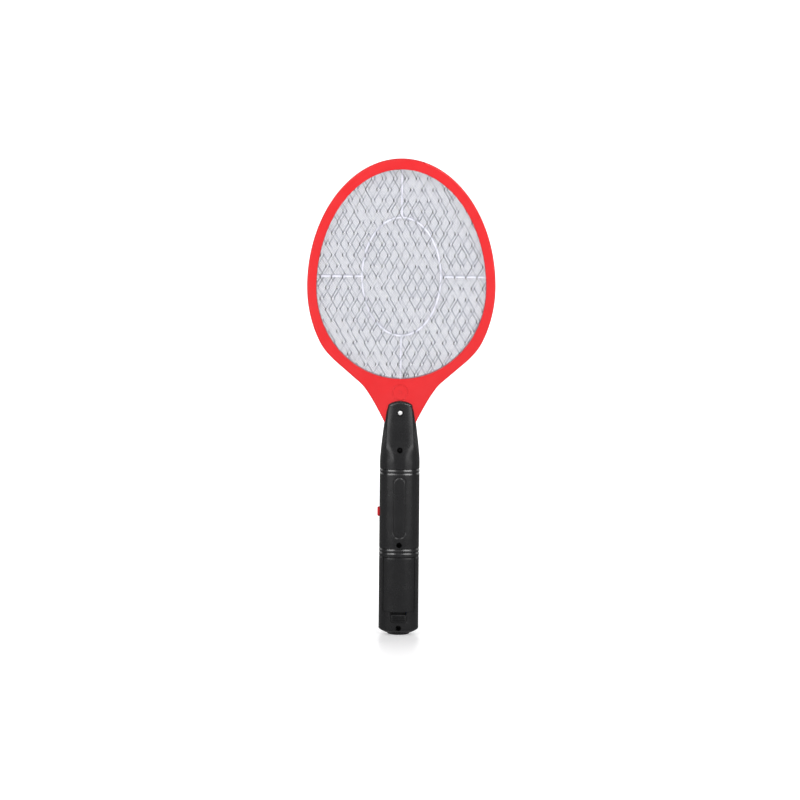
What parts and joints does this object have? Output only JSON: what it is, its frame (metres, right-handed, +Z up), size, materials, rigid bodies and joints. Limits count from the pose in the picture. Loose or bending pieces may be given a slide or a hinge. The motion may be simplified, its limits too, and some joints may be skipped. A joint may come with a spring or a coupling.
{
  "type": "electric fly swatter",
  "caption": "Racket-shaped insect zapper: an oval plastic head frame holds layered wire nets on a slim battery handle with a side push button, snap battery door and screwed shells.",
  "frame": {"origin": "centre of the foot on the end of the handle, the lowest point, on the parting plane", "axes": "+Z runs up the handle to the crown of the head, +X across the head with the push button on the -X side, and the battery door faces -Y"},
  "size_m": [0.1768, 0.0324, 0.45],
  "materials": {
    "frame_red": "satin moulded plastic",
    "shell_black": "fine satin moulded plastic",
    "button_red": "satin moulded plastic",
    "net_steel": "galvanised wire",
    "fine_mesh": "fine expanded mesh",
    "spacer_white": "moulded plastic",
    "nickel": "nickel plate",
    "board_green": "solder mask",
    "ferrite": "matt sintered",
    "winding": "enamelled wire under tape",
    "film_red": "dipped epoxy",
    "epoxy_black": "moulded epoxy",
    "resistor_tan": "lacquer with plain bands",
    "lamp_red": "clear tinted epoxy",
    "cell_sleeve": "plain printed sleeve over a steel can",
    "wire_red": "insulated wire",
    "wire_black": "insulated wire"
  },
  "bodies": {
    "swatter": {"head_frame_back": "frame_red", "head_frame_front": "frame_red", "back_net": "net_steel", "front_net": "net_steel", "middle_net": "fine_mesh", "back_spacer": "spacer_white", "front_spacer": "spacer_white", "outer_net_link": "nickel", "middle_net_tab": "nickel", "handle_back_shell": "shell_black", "handle_front_shell": "shell_black", "handle_screw_1": "nickel", "handle_screw_2": "nickel", "handle_screw_3": "nickel", "handle_screw_4": "nickel", "circuit_board": "board_green", "switch_body": "epoxy_black", "transformer_core": "ferrite", "transformer_winding": "winding", "hv_capacitor": "film_red", "transistor": "epoxy_black", "indicator_lamp": "lamp_red", "diode_1": "epoxy_black", "diode_2": "epoxy_black", "diode_3": "epoxy_black", "base_resistor": "resistor_tan", "bleed_resistor": "resistor_tan", "board_screw_1": "nickel", "board_screw_2": "nickel", "battery_left": "cell_sleeve", "battery_right": "cell_sleeve", "bridge_contact": "nickel", "bridge_spring": "nickel", "positive_contact": "nickel", "negative_contact": "nickel", "negative_spring": "nickel", "positive_wire": "wire_red", "negative_wire": "wire_black", "middle_net_wire": "wire_red", "outer_net_wire": "wire_black"},
    "battery_door": {"battery_door": "shell_black"},
    "button": {"push_button": "button_red", "switch_plunger": "epoxy_black"}
  },
  "joints": [
    {"name": "button_press", "type": "slide", "parent": "swatter", "child": "button", "axis": [1, 0, 0], "range_m": [0, 0.0012], "stiffness_N_per_m": 500, "springref_m": -0.0012},
    {"name": "battery_door_swing", "type": "hinge", "parent": "swatter", "child": "battery_door", "pos_m": [0, -0.0162, 0.075], "axis": [-1, 0, 0], "range_deg": [0, 60]}
  ]
}
